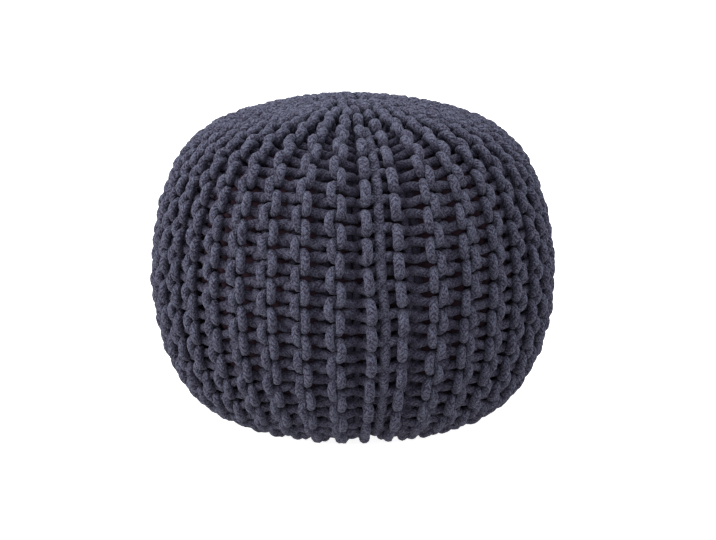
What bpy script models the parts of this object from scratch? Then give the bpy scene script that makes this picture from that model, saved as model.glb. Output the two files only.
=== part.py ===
"""Knitted pouf: a round floor cushion in a chunky garter-knit cover, filled firm.

The cover is one knitted rectangle. Its rows run up and down the pouf, so that pairs of rows stand out as
upright ridges with a groove between each two. Both ends are drawn together, at the top in a small dimple
and under the base, and the first and last rows are laced together down the front.

Units are metres, +Z is up, and the origin is the middle of the flat base. The laced join is a little to the
+X side of the -Y direction, where the pouf is looked at from.
"""

from math import cos, pi, radians, sin
from typing import Callable, NamedTuple

import bmesh
import bpy
from mathutils import Vector


# ---- driving dimensions -------------------------------------------------------------------------------

WIDTH = 0.450  # across the pouf at its widest, over the ridges


class Arc(NamedTuple):
    """One arc of the pouf's outline."""

    name: str
    radius: float
    sweep_deg: float
    steps: int


# The outline over the ridges, from the top middle outwards and down: five arcs, each tangent to the next,
# that turn through half a turn together. The base is flat from the end of the heel inwards.
OUTLINE = (
    Arc("crown", 0.4257, 19.2, 6),
    Arc("shoulder", 0.1035, 47.0, 6),
    Arc("side", 0.2857, 37.4, 5),
    Arc("haunch", 0.1709, 20.1, 3),
    Arc("heel", 0.0858, 56.3, 5),
)

DIMPLE_RADIUS = 0.034  # where the top is drawn together
DIMPLE_DEPTH = 0.011
DIMPLE_STEPS = (0.35, 0.58, 0.80)  # rings inside the dimple, as shares of its radius
FLAT_BASE_RADIUS = 0.100

SEAM_DEG = 8.0  # the laced join, from the -Y direction towards +X

# Angles from the join, anticlockwise as seen from above.
FIRST_EDGE_ROW_DEG = 4.0  # the single edge rows on each side of the join
LAST_EDGE_ROW_DEG = 360.0 - 4.5
FIRST_RIDGE_DEG = 14.8  # the nearest full ridges on each side of it
LAST_RIDGE_DEG = 360.0 - 12.6
LACING_DEG = -0.25

RIDGES = 36  # full ridges, of two rows of knitting each
SPACING_SWING_DEG = 0.25  # from ridge to ridge the first are this much wider, the last this much narrower
CREST_WIDTH_DEG = 4.8
EDGE_ROW_WIDTH_DEG = 2.5

GROOVE_DEPTH = 0.0080  # between two ridges, at most
GROOVE_SHARE = 0.035  # depth as a share of the distance from the axis, where ridges crowd together
SEAM_GROOVE_DEPTH = 0.0096  # between the two edge rows, at most
SEAM_GROOVE_SHARE = 0.075  # depth as a share of the distance from the axis
SEAM_GROOVE_WALL_DEG = 1.1
GROOVE_FADE = 0.030  # how far outside the flat base the grooves reach their depth
GROOVE_FADE_HEIGHT = 0.020

LACING_RADIUS = 0.0040
LACING_TAPER = 0.026  # its radius as a share of the distance from the axis, where rows crowd together
LACING_GAP = 0.0006  # to the floor of its groove
LACING_TOP_RADIUS = 0.075  # distance from the axis where it starts, on the crown
LACING_LOW_HEIGHT = 0.020  # height above the base where it ends, on the heel
LACING_POINTS = 44

COVER_COLOUR = (0.050, 0.056, 0.082, 1.0)
LACING_COLOUR = (0.043, 0.048, 0.072, 1.0)
COTTON_ROUGHNESS = 0.92


# ---- outline ------------------------------------------------------------------------------------------


class Station(NamedTuple):
    """A place on the outline: distance from the axis, height, and the outward direction in that plane."""

    radius: float
    height: float
    normal: Vector


def dimple_drop(radius):
    """How far the top is drawn in at this distance from the axis."""
    if radius >= DIMPLE_RADIUS:
        return 0.0
    return DIMPLE_DEPTH * 0.5 * (1.0 + cos(pi * radius / DIMPLE_RADIUS))


def arc_stations(finer=1):
    """Stations along the five arcs, stood on the base and scaled to the width, with no dimple."""
    stations = []
    start = Vector((0.0, 0.0))
    turned = 0.0
    for arc in OUTLINE:
        sweep = radians(arc.sweep_deg)
        centre = start - arc.radius * Vector((sin(turned), cos(turned)))
        for step in range(1, arc.steps * finer + 1):
            angle = turned + sweep * step / (arc.steps * finer)
            normal = Vector((sin(angle), cos(angle)))
            place = centre + arc.radius * normal
            stations.append(Station(place.x, place.y, normal))
        start = centre + arc.radius * normal
        turned += sweep
    scale = WIDTH / 2.0 / max(station.radius for station in stations)
    base = stations[-1].height
    return [Station(at.radius * scale, (at.height - base) * scale, at.normal) for at in stations]


def cover_stations():
    """The outline of the cover, from the floor of the dimple to the rim of the flat base."""
    arcs = arc_stations()
    crown_radius = OUTLINE[0].radius
    rim = arcs[0]
    stations = []
    for share in DIMPLE_STEPS:
        radius = share * DIMPLE_RADIUS
        rise = (rim.radius**2 - radius**2) / (2.0 * crown_radius)
        stations.append(Station(radius, rim.height + rise - dimple_drop(radius), Vector((0.0, 1.0))))
    for at in arcs:
        drop = dimple_drop(at.radius) if at.normal.y > 0.0 else 0.0
        stations.append(Station(at.radius, at.height - drop, at.normal))
    stations.append(Station(FLAT_BASE_RADIUS, 0.0, Vector((0.0, -1.0))))
    return stations


# ---- what goes round the pouf -------------------------------------------------------------------------


def fade(at):
    """From 0 on the flat base to 1 away from it, so that the pouf stands on a flat disc."""
    if at.height > GROOVE_FADE_HEIGHT or at.normal.y > 0.0:
        return 1.0
    return min(1.0, (at.radius - FLAT_BASE_RADIUS) / GROOVE_FADE)


def on_crest(_):
    """A ridge's crest lies on the outline."""
    return 0.0


def in_groove(at):
    """Depth of a groove between two ridges."""
    return fade(at) * min(GROOVE_DEPTH, GROOVE_SHARE * at.radius)


def in_seam_groove(at):
    """Depth of the groove along the laced join."""
    return fade(at) * min(SEAM_GROOVE_DEPTH, SEAM_GROOVE_SHARE * at.radius)


class Mark(NamedTuple):
    """A line that runs up the cover: its angle from the join, and its depth at each station."""

    angle: float
    depth: Callable


def ridge_angles():
    """Angle of each full ridge from the join."""
    gaps = RIDGES - 1
    mean = (LAST_RIDGE_DEG - FIRST_RIDGE_DEG) / gaps
    swing = SPACING_SWING_DEG * gaps / pi
    return [FIRST_RIDGE_DEG + mean * ridge + swing * sin(pi * ridge / gaps) for ridge in range(RIDGES)]


def marks_round():
    """Crests and grooves in order, anticlockwise from the join as seen from above."""
    half_edge = EDGE_ROW_WIDTH_DEG / 2.0
    half_crest = CREST_WIDTH_DEG / 2.0
    to_wall = half_edge + SEAM_GROOVE_WALL_DEG
    ridges = ridge_angles()
    marks = [Mark(FIRST_EDGE_ROW_DEG - to_wall, in_seam_groove)]
    crests = [(FIRST_EDGE_ROW_DEG, half_edge)]
    crests += [(ridge, half_crest) for ridge in ridges]
    crests += [(LAST_EDGE_ROW_DEG, half_edge)]
    for number, (middle, half) in enumerate(crests):
        if number > 0:
            marks.append(Mark((marks[-1].angle + middle - half) / 2.0, in_groove))
        marks.append(Mark(middle - half, on_crest))
        marks.append(Mark(middle + half, on_crest))
    marks.append(Mark(LAST_EDGE_ROW_DEG + to_wall, in_seam_groove))
    return marks


def place(at, depth, angle_deg):
    """A point this deep under the outline, at this angle from the join, anticlockwise from above."""
    angle = radians(SEAM_DEG + angle_deg)
    radius = at.radius - depth * at.normal.x
    return Vector((radius * sin(angle), -radius * cos(angle), at.height - depth * at.normal.y))


# ---- the two pieces -----------------------------------------------------------------------------------


def cotton(name, colour):
    """Matt dyed cotton cord."""
    material = bpy.data.materials.new(name)
    material.use_nodes = True
    shader = material.node_tree.nodes["Principled BSDF"]
    shader.inputs["Base Color"].default_value = colour
    shader.inputs["Roughness"].default_value = COTTON_ROUGHNESS
    shader.inputs["Metallic"].default_value = 0.0
    return material


def show(name, data, material):
    """Puts the data in the scene as a named object with its material."""
    piece = bpy.data.objects.new(name, data)
    bpy.context.scene.collection.objects.link(piece)
    data.materials.append(material)
    return piece


def knit_cover():
    """The filled cover: a ring of crests and grooves at each station, closed at the dimple and the base."""
    marks = marks_round()
    mesh = bmesh.new()
    rings = []
    for at in cover_stations():
        rings.append([mesh.verts.new(place(at, mark.depth(at), mark.angle)) for mark in marks])
    walls = []
    for upper, lower in zip(rings, rings[1:]):
        for here, this in enumerate(upper):
            after = (here + 1) % len(marks)
            walls.append(mesh.faces.new((this, lower[here], lower[after], upper[after])))
    mesh.faces.new(rings[0])
    mesh.faces.new(reversed(rings[-1]))
    bmesh.ops.triangulate(mesh, faces=walls)
    bmesh.ops.recalc_face_normals(mesh, faces=mesh.faces)
    data = bpy.data.meshes.new("knit_cover")
    mesh.to_mesh(data)
    mesh.free()
    data.shade_smooth()
    return show("knit_cover", data, cotton("navy_cotton", COVER_COLOUR))


def seam_lacing():
    """The cord that laces the first and last rows together, in the groove between them."""
    path = [
        at
        for at in arc_stations(finer=12)
        if at.radius > LACING_TOP_RADIUS and (at.height > LACING_LOW_HEIGHT or at.normal.y > 0.0)
    ]
    curve = bpy.data.curves.new("seam_lacing", "CURVE")
    curve.dimensions = "3D"
    curve.bevel_depth = LACING_RADIUS
    curve.bevel_resolution = 2
    curve.use_fill_caps = True
    spline = curve.splines.new("POLY")
    spline.points.add(LACING_POINTS - 1)
    for number, point in enumerate(spline.points):
        at = path[round(number * (len(path) - 1) / (LACING_POINTS - 1))]
        point.radius = min(1.0, LACING_TAPER * at.radius / LACING_RADIUS)
        depth = in_seam_groove(at) - LACING_RADIUS * point.radius - LACING_GAP
        point.co = (*place(at, depth, LACING_DEG), 1.0)
    return show("seam_lacing", curve, cotton("lacing_cotton", LACING_COLOUR))


def main():
    """Clears the scene and builds the pouf."""
    for thing in list(bpy.data.objects):
        bpy.data.objects.remove(thing)
    knit_cover()
    seam_lacing()


main()
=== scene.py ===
"""The looks of a knitted floor pouf: every cord of its garter-knit cover, the laced join and the finishes.

The cover is made as a knitter makes it. One stitch is settled against its neighbours, rows of that stitch run
from the top pole to the bottom one, and the rows share the way round the pouf. Lengths are in metres and
angles in degrees, except where a comment says otherwise.
"""

import logging
import math
from dataclasses import dataclass, field
from enum import Enum
from typing import Mapping, Sequence

import bmesh
import bpy
import numpy as np
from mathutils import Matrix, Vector


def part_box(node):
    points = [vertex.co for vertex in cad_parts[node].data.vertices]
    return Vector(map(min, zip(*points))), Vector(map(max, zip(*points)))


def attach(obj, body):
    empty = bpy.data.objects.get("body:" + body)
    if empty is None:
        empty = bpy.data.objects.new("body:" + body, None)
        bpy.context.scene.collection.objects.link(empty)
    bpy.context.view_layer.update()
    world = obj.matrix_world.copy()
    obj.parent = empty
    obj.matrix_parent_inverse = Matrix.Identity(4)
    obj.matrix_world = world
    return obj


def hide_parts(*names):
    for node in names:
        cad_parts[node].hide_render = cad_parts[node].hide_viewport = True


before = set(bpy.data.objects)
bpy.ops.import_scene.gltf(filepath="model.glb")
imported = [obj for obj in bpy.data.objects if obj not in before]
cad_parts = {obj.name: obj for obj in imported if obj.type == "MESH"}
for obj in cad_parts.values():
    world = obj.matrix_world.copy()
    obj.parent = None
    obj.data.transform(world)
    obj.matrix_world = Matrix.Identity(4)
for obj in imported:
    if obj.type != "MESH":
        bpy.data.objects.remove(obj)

LOG = logging.getLogger("pouf")
MM = 0.001
NEVER_ZERO = 1e-9  # added to distances that are divided by

Colour = tuple[float, float, float]


def smooth_step(value: np.ndarray) -> np.ndarray:
    """From 0 at 0 to 1 at 1, with no kink at either end."""
    value = np.clip(value, 0.0, 1.0)
    return value * value * (3.0 - 2.0 * value)


def hump(share: np.ndarray) -> np.ndarray:
    """From 0 at 0 and at 1 up to 1 half-way between them."""
    return 4.0 * share * (1.0 - share)


def show(name: str, data: bpy.types.ID) -> bpy.types.Object:
    """Puts the data in the scene as a named object at the origin."""
    thing = bpy.data.objects.new(name, data)
    bpy.context.scene.collection.objects.link(thing)
    return thing


# ---- the form that the cover is stretched over ---------------------------------------------------------


@dataclass(frozen=True)
class Arc:
    """One arc of the pouf's outline: its radius in metres and how far it turns in degrees."""

    radius: float
    sweep: float


@dataclass
class Profile:
    """A line from pole to pole, some way under the outline, that is turned round the axis.

    Attributes:
        length: distance along the line from the top pole, at each sample.
        radius: distance from the axis.
        height: height above the floor.
        out_r: outward direction, away from the axis.
        out_z: outward direction, upwards.
    """

    length: np.ndarray
    radius: np.ndarray
    height: np.ndarray
    out_r: np.ndarray
    out_z: np.ndarray

    def at(self, length: np.ndarray) -> tuple[np.ndarray, ...]:
        """The line at these distances along it.

        Args:
            length: the distances.

        Returns:
            Distance from the axis, height, and the outward direction, of length 1, away from the axis and
            upwards.
        """
        radius, height, out_r, out_z = (
            np.interp(length, self.length, values)
            for values in (self.radius, self.height, self.out_r, self.out_z)
        )
        size = np.hypot(out_r, out_z)
        return radius, height, out_r / size, out_z / size


@dataclass
class Form:
    """The filled pouf's outline over its ridges, as five tangent arcs, a drawn top and a flat base.

    Attributes:
        width: across the pouf at its widest. The arcs are scaled to it.
        arcs: from the middle of the top, outwards and down to the base.
        dimple_radius: distance from the axis within which the top is drawn in.
        dimple_depth: how far it is drawn in.
        throat_radius: distance from the axis within which both poles dive into the pouf.
        throat_depth: how far they dive.
        throat_flare: how gently they begin to. 1 would be a cone.
        pole_radius: distance from the axis at which a line under the outline ends.
        arc_samples: points along each arc.
        base_samples: points along the flat base.
        samples: points along a finished line from pole to pole.
    """

    width: float
    arcs: Sequence[Arc] = (
        Arc(0.4257, 19.2),
        Arc(0.1035, 47.0),
        Arc(0.2857, 37.4),
        Arc(0.1709, 20.1),
        Arc(0.0858, 56.3),
    )
    dimple_radius: float = 0.034
    dimple_depth: float = 0.011
    throat_radius: float = 0.015
    throat_depth: float = 0.024
    throat_flare: float = 1.5
    pole_radius: float = 0.0005
    arc_samples: int = 200
    base_samples: int = 160
    samples: int = 1200

    def outline(self) -> tuple[np.ndarray, np.ndarray, np.ndarray]:
        """Samples along the arcs.

        Returns:
            Distance from the axis, height over the base, and the angle of the outward direction from up, in
            radians.
        """
        radius, height, tilt = [], [], []
        start, turned = np.zeros(2), 0.0
        for arc in self.arcs:
            angles = turned + np.radians(arc.sweep) * np.linspace(0.0, 1.0, self.arc_samples)
            centre = start - arc.radius * np.array([np.sin(turned), np.cos(turned)])
            radius.append(centre[0] + arc.radius * np.sin(angles))
            height.append(centre[1] + arc.radius * np.cos(angles))
            tilt.append(angles)
            start = np.array([radius[-1][-1], height[-1][-1]])
            turned = angles[-1]
        radius, height, tilt = (np.concatenate(part) for part in (radius, height, tilt))
        scale = self.width / 2.0 / radius.max()
        return radius * scale, (height - height[-1]) * scale, tilt

    def dimple(self, radius: np.ndarray) -> np.ndarray:
        """How far the top is drawn in, at these distances from the axis."""
        wave = 0.5 + 0.5 * np.cos(np.pi * radius / self.dimple_radius)
        return self.dimple_depth * np.where(radius < self.dimple_radius, wave, 0.0)

    def throat(self, radius: np.ndarray) -> np.ndarray:
        """How far each pole dives into the pouf, at these distances from the axis."""
        return self.throat_depth * np.clip(1.0 - radius / self.throat_radius, 0.0, 1.0) ** self.throat_flare

    def under(self, depth: float) -> Profile:
        """The line from pole to pole that lies this deep under the outline.

        Args:
            depth: distance inwards from the outline.

        Returns:
            The line, with samples at even steps along it.
        """
        radius, height, tilt = self.outline()
        radius = radius - depth * np.sin(tilt)
        height = height - depth * np.cos(tilt)
        keep = radius > self.pole_radius
        radius, height = radius[keep], height[keep]
        flat = np.linspace(radius[-1], self.pole_radius, self.base_samples)[1:]
        radius = np.concatenate((radius, flat))
        height = np.concatenate((height, np.full(flat.size, height[-1])))
        top = np.arange(radius.size) < radius.argmax()
        throat = self.throat(radius)
        height = np.where(top, height - (self.dimple(radius) + throat), height + throat)
        length = np.concatenate(([0.0], np.cumsum(np.hypot(np.diff(radius), np.diff(height)))))
        even = np.linspace(0.0, length[-1], self.samples)
        radius, height = np.interp(even, length, radius), np.interp(even, length, height)
        along_r, along_z = np.gradient(radius, even), np.gradient(height, even)
        size = np.hypot(along_r, along_z)
        return Profile(even, radius, height, -along_z / size, along_r / size)


# ---- how the strips of knitting share the way round ----------------------------------------------------


@dataclass
class Crowding:
    """Where each strip of the cover lies round the pouf, at each distance from the top pole.

    All strips show round the middle. Towards the drawn ends there is room for fewer and fewer of them, so
    that some sink between their neighbours, and the others spread over them. The join's strip comes first.
    The cloth near it is held by the lacing, so that it narrows less towards the top, and lower down the join
    lies a little to one side.

    Attributes:
        profile: the line from pole to pole that the strips follow.
        edges: angles of the strips' edges where they are widest, from the join.
        sinks_at: distance from the axis at which each strip has half sunk, or 0 for one that never does.
        band: the stretch of that distance over which it sinks.
        least_shown: share of its width that a sunk strip keeps.
        join_hold: how much wider the cloth at the join is for each metre above the place where it is even.
        join_even: distance from the top pole to that place.
        join_reach: angle from the join to where the cloth is widest.
        join_span: angle from there to where it is as much narrower.
        join_sway: angle by which the join lies to one side lower down.
        sway_from: distance from the top pole at which it starts to.
        sway_run: distance in which it gets there.
        shown: width of each strip against its full width, at each sample of the profile.
        bounds: angle of each strip's edge from the join, at each sample of the profile.
    """

    profile: Profile
    edges: np.ndarray
    sinks_at: np.ndarray
    band: float = 0.016
    least_shown: float = 0.004
    join_hold: float = 0.54
    join_even: float = 0.36
    join_reach: float = 22.0
    join_span: float = 50.0
    join_sway: float = 1.2
    sway_from: float = 0.295
    sway_run: float = 0.06
    shown: np.ndarray = field(init=False)
    bounds: np.ndarray = field(init=False)

    def __post_init__(self) -> None:
        """Works out how much of each strip shows, and the angles of the strips' edges."""
        inside = (self.profile.radius[None, :] - self.sinks_at[:, None]) / self.band + 0.5
        self.shown = np.maximum(smooth_step(inside), self.least_shown)
        self.shown[self.sinks_at <= 0.0] = 1.0
        self.shown *= self.held()
        width = np.diff(self.edges)[:, None] * self.shown
        around = np.concatenate((np.zeros((1, width.shape[1])), np.cumsum(width, axis=0)))
        around *= 360.0 / around[-1]
        join_share = -self.edges[0] / (self.edges[1] - self.edges[0])
        self.bounds = around - join_share * around[1]

    def held(self) -> np.ndarray:
        """How wide the lacing holds the cloth near it.

        Returns:
            Width of each strip against its width without the lacing, at each sample of the profile.
        """
        middle = (self.edges[1:] + self.edges[:-1]) / 2.0
        beyond = np.abs(middle - 360.0 * np.round(middle / 360.0)) - self.join_reach
        second_zero = 1.5 * self.join_span
        wave = np.cos(np.pi * beyond / self.join_span) * (beyond < second_zero)
        above = np.maximum(self.join_even - self.profile.length, 0.0)
        return 1.0 + self.join_hold * wave[:, None] * above[None, :]

    def sample(self, length: np.ndarray) -> np.ndarray:
        """The number of the profile's sample at this distance along it, with its fraction.

        Args:
            length: distances from the top pole.

        Returns:
            The numbers, all a little under the last sample's, so that there is a next one.
        """
        spacing = self.profile.length[1]
        return np.clip(length / spacing, 0.0, self.profile.length.size - 1.001)

    def shown_at(self, strip: int, length: np.ndarray) -> np.ndarray:
        """Width of a strip against its full width, at these distances from the top pole."""
        return np.interp(length, self.profile.length, self.shown[strip])

    def angle(self, length: np.ndarray, flat: np.ndarray) -> tuple[np.ndarray, np.ndarray]:
        """Turns an angle on the evenly spread cover into the real one.

        Args:
            length: distances from the top pole.
            flat: angles from the join on the cover with all its strips at full width.

        Returns:
            The real angles from the join, and how wide the strip is there against its width where the pouf
            is widest.
        """
        turn = np.floor((flat - self.edges[0]) / 360.0)
        flat = flat - 360.0 * turn
        strip = np.clip(np.searchsorted(self.edges, flat, side="right") - 1, 0, self.edges.size - 2)
        wide = self.edges[strip + 1] - self.edges[strip]
        share = (flat - self.edges[strip]) / wide
        sway = self.join_sway * smooth_step((length - self.sway_from) / self.sway_run) * (strip == 0)
        share += sway / wide * hump(share)
        at = self.sample(length)
        low = at.astype(int)
        part = at - low
        start = self.bounds[strip, low] * (1.0 - part) + self.bounds[strip, low + 1] * part
        end = self.bounds[strip + 1, low] * (1.0 - part) + self.bounds[strip + 1, low + 1] * part
        stretch = (end - start) / wide
        radius = np.interp(length, self.profile.length, self.profile.radius)
        return start + share * (end - start) + 360.0 * turn, stretch * radius / self.profile.radius.max()


# ---- cords -----------------------------------------------------------------------------------------------


@dataclass
class Cord:
    """The middle line of one length of cord.

    Attributes:
        points: places along it.
        radius: half its width at each point.
        depth: half its thickness there, along the pouf's outward direction.
        outward: that direction.
        proud: how far out of the cloth it lies, from 0 at the back to 1 at the front.
    """

    points: np.ndarray
    radius: np.ndarray
    depth: np.ndarray
    outward: np.ndarray
    proud: np.ndarray

    def lengths(self) -> np.ndarray:
        """Distance of each point from the start, along the cord."""
        steps = np.linalg.norm(np.diff(self.points, axis=0), axis=1)
        return np.concatenate(([0.0], np.cumsum(steps)))


@dataclass
class CordMaker:
    """Makes cords into one closed mesh, with a UV map of metres along and turns round each cord.

    Attributes:
        sides: faces round a cord. Only 6, 8, 10 and so on are possible.
        lumpiness: how uneven its surface is, against its radius.
        cloth_depth: how far out of its cord's middle line a place counts as proud by 1 more.
        seed: of the unevenness.
    """

    sides: int = 10
    lumpiness: float = 0.05
    cloth_depth: float = 0.0105
    seed: int = 5

    def make(self, name: str, cords: Sequence[Cord], material: bpy.types.Material) -> bpy.types.Object:
        """Builds the piece.

        Args:
            name: the piece's name.
            cords: its cords.
            material: their finish.

        Returns:
            The finished object, at the origin.
        """
        mesh = self.tubes(name, cords)
        self.mark_proud(mesh, cords, self.press(mesh, cords))
        self.measure_uv(mesh, cords)
        self.close_ends(mesh)
        mesh.materials.clear()
        mesh.materials.append(material)
        mesh.shade_smooth()
        return show(name, mesh)

    def tubes(self, name: str, cords: Sequence[Cord]) -> bpy.types.Mesh:
        """Runs a round tube along every cord.

        Args:
            name: the piece's name.
            cords: its cords.

        Returns:
            The tubes, open at both ends, with a ring of points for each point of a cord.
        """
        curve = bpy.data.curves.new(name, "CURVE")
        curve.dimensions = "3D"
        curve.bevel_depth = 1.0
        curve.bevel_resolution = self.sides // 2 - 2
        for cord in cords:
            spline = curve.splines.new("POLY")
            spline.points.add(len(cord.points) - 1)
            spline.points.foreach_set("co", np.c_[cord.points, np.ones(len(cord.points))].ravel())
            spline.points.foreach_set("radius", cord.radius)
        path = show(name + "_path", curve)
        graph = bpy.context.evaluated_depsgraph_get()
        mesh = bpy.data.meshes.new_from_object(path.evaluated_get(graph))
        bpy.data.objects.remove(path)
        bpy.data.curves.remove(curve)
        mesh.name = name
        return mesh

    def press(self, mesh: bpy.types.Mesh, cords: Sequence[Cord]) -> np.ndarray:
        """Gives the round tubes their thickness along the pouf's outward direction, and an uneven surface.

        Args:
            mesh: the tubes.
            cords: their cords.

        Returns:
            How far out of its cord's middle line each point lies.
        """
        points = np.empty(len(mesh.vertices) * 3, dtype=np.float32)
        mesh.vertices.foreach_get("co", points)
        rings = points.reshape(-1, self.sides, 3)
        middles = np.concatenate([cord.points for cord in cords])[:, None, :]
        outward = np.concatenate([cord.outward for cord in cords])[:, None, :]
        shape = np.concatenate([cord.depth / cord.radius for cord in cords])[:, None, None]
        chance = np.random.default_rng(self.seed)
        lumps = 1.0 + chance.normal(0.0, self.lumpiness, rings.shape[:2])[:, :, None]
        out = ((rings - middles) * outward).sum(axis=2, keepdims=True)
        rings = middles + lumps * (rings - middles + (shape - 1.0) * out * outward)
        rings[:, :, 2] = np.maximum(rings[:, :, 2], 0.0)
        mesh.vertices.foreach_set("co", rings.astype(np.float32).ravel())
        return (out * shape).ravel()

    def mark_proud(self, mesh: bpy.types.Mesh, cords: Sequence[Cord], out: np.ndarray) -> None:
        """Notes how far out of the cloth each part of the cords' surface lies, for the painted shade in the
        finish, which darkens the cords deep in the cloth and the sides of each cord that face into it.
        """
        # The side of each cord that faces into the cloth counts as less proud, so that it gets painted shade.
        proud = np.repeat(np.concatenate([cord.proud for cord in cords]), self.sides) + out / self.cloth_depth
        mesh.attributes.new("proud", "FLOAT", "POINT").data.foreach_set("value", proud.astype(np.float32))

    def measure_uv(self, mesh: bpy.types.Mesh, cords: Sequence[Cord]) -> None:
        """Gives the map that the tubes came with real lengths, in metres along each cord.

        Args:
            mesh: the tubes.
            cords: their cords.
        """
        along = np.concatenate([cord.lengths() for cord in cords])
        corner = np.empty(len(mesh.loops), dtype=np.int32)
        mesh.loops.foreach_get("vertex_index", corner)
        layer = mesh.uv_layers[0]
        uv = np.empty(len(mesh.loops) * 2)
        layer.uv.foreach_get("vector", uv)
        uv = uv.reshape(-1, 2)
        uv[:, 0] = along[corner // self.sides]
        layer.uv.foreach_set("vector", uv.ravel())

    def close_ends(self, mesh: bpy.types.Mesh) -> None:
        """Closes the open ends of every tube.

        Args:
            mesh: the tubes.
        """
        shape = bmesh.new()
        shape.from_mesh(mesh)
        rims = [edge for edge in shape.edges if edge.is_boundary]
        bmesh.ops.holes_fill(shape, edges=rims, sides=self.sides)
        bmesh.ops.recalc_face_normals(shape, faces=shape.faces)
        shape.to_mesh(mesh)
        shape.free()


# ---- the knitted cover -----------------------------------------------------------------------------------


class Side(Enum):
    """Which side of the cloth the foot of a row's loops lies on."""

    FRONT = 1.0
    BACK = -1.0


@dataclass
class Stitch:
    """One garter stitch of the cloth laid flat, settled until its cord lies easily against its neighbours.

    The cloth is one row and its mirror image, over and over. A point of the cord is millimetres down the
    cloth, across it and out of it, and the foot of the loop comes first.

    Attributes:
        pitch: from stitch to stitch, down the cloth.
        ridge: from ridge to ridge, across it.
        yarn: length of cord in a stitch when slack.
        tension: how strongly it resists stretching.
        stiffness: resistance to bending.
        soft_reach: distance at which two cords begin to press on each other.
        hard_reach: distance at which they press hard.
        hardness: how much more strongly they press then.
        own_reach: how many points of its own cord, on each side of it, a point doesn't press on.
        squeeze: how much narrower the cord is where it is bent over its neighbour.
        squeeze_from: height out of the cloth at which it begins to be, against the most.
        squeeze_run: how much more of that height until it is narrowest.
        flatness: distance out of the cloth past which the cord is pressed back level.
        squareness: how sharply the cord turns at the two ends of a loop.
        loop_reach: from the middle of the first guess to its foot, across the cloth.
        loop_height: half of how far out of the cloth its foot lies.
        points: how many points of the cord are followed.
        rounds: steps of settling.
        damping: share of a point's speed that is left after a step.
        response: how much of the force on a point goes into its speed.
        stride: how far a point at the top speed moves in a step.
        cord: the settled points.
        girth: width of the cord at each of them, against its full width.
    """

    pitch: float = 30.4
    ridge: float = 38.0
    yarn: float = 74.0
    tension: float = 60.0
    stiffness: float = 30.0
    soft_reach: float = 7.4
    hard_reach: float = 5.5
    hardness: float = 4.0
    own_reach: int = 5
    squeeze: float = 0.19
    squeeze_from: float = 0.25
    squeeze_run: float = 0.60
    flatness: float = 9.0
    squareness: float = 1.1
    loop_reach: float = 15.0
    loop_height: float = 3.8
    points: int = 32
    rounds: int = 1500
    damping: float = 0.9
    response: float = 0.04
    stride: float = 0.12
    cord: np.ndarray = field(init=False)
    girth: np.ndarray = field(init=False)

    def __post_init__(self) -> None:
        """Settles the cord."""
        self.cord = self.first_guess()
        speed = np.zeros_like(self.cord)
        for _ in range(self.rounds):
            speed = self.damping * (speed + self.response * self.force(self.cord))
            speed /= max(1.0, float(np.abs(speed).max()))
            self.cord = self.cord + self.stride * speed
        top = self.cord[:, 2].max()
        height = np.tanh(self.cord[:, 2] / self.flatness) / np.tanh(top / self.flatness)
        self.cord[:, 2] = top * height
        bent = (np.abs(height) - self.squeeze_from) / self.squeeze_run
        self.girth = 1.0 - self.squeeze * smooth_step(bent)

    def first_guess(self) -> np.ndarray:
        """A loop with rounded ends, its foot at the front and its head at the back.

        Returns:
            Its points.
        """
        turn = 2.0 * np.pi * np.arange(self.points) / self.points
        down = self.pitch * (turn + np.sin(2.0 * turn)) / (2.0 * np.pi)
        across = self.ridge / 4.0 - self.loop_reach * np.cos(turn)
        out = self.loop_height * (np.cos(turn) + np.cos(3.0 * turn))
        return np.stack((down, across, out), axis=1)

    def force(self, cord: np.ndarray) -> np.ndarray:
        """What pulls and pushes on the cord: its tension and stiffness, and its neighbours.

        Args:
            cord: its points.

        Returns:
            The force on each point.
        """
        step = np.array([self.pitch, 0.0, 0.0])
        after = np.concatenate((cord[1:], cord[:1] + step))
        before = np.concatenate((cord[-1:] - step, cord[:-1]))
        part = after - cord
        long = np.linalg.norm(part, axis=1, keepdims=True)
        pull = self.tension * (long - self.yarn / self.points) * part / long
        bend = before - 2.0 * cord + after
        force = pull - np.roll(pull, 1, axis=0)
        force -= self.stiffness * (np.roll(bend, -1, axis=0) - 2.0 * bend + np.roll(bend, 1, axis=0))
        force += self.contact(cord)
        force[:, 1] -= force[:, 1].mean()
        return force

    def neighbours(self, cord: np.ndarray) -> list[tuple[np.ndarray, np.ndarray]]:
        """Looks at the stitches above and below, and at the rows on each side.

        Args:
            cord: the points of the cord.

        Returns:
            For each of them, how each point is placed to each of its points, and how far off.
        """
        next_row = cord * (1.0, 1.0, -1.0) + (0.0, self.ridge / 2.0, 0.0)
        last_row = next_row - (0.0, self.ridge, 0.0)
        own = np.arange(self.points)
        found = []
        for stitch in (-1, 0, 1):
            for other in (cord, next_row, last_row):
                apart = cord[:, None] - (other + (self.pitch * stitch, 0.0, 0.0))[None]
                far = np.linalg.norm(apart, axis=2) + NEVER_ZERO
                if other is cord:
                    between = np.abs(own[:, None] - own[None] - self.points * stitch)
                    far[between <= self.own_reach] = np.inf
                found.append((apart, far))
        return found

    def contact(self, cord: np.ndarray) -> np.ndarray:
        """How the cord's neighbours push on it.

        Args:
            cord: its points.

        Returns:
            The push on each point.
        """
        push = np.zeros_like(cord)
        for apart, far in self.neighbours(cord):
            press = np.maximum(self.soft_reach - far, 0.0)
            press += self.hardness * np.maximum(self.hard_reach - far, 0.0)
            push += ((press / far)[:, :, None] * apart).sum(axis=1)
        return push

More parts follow.
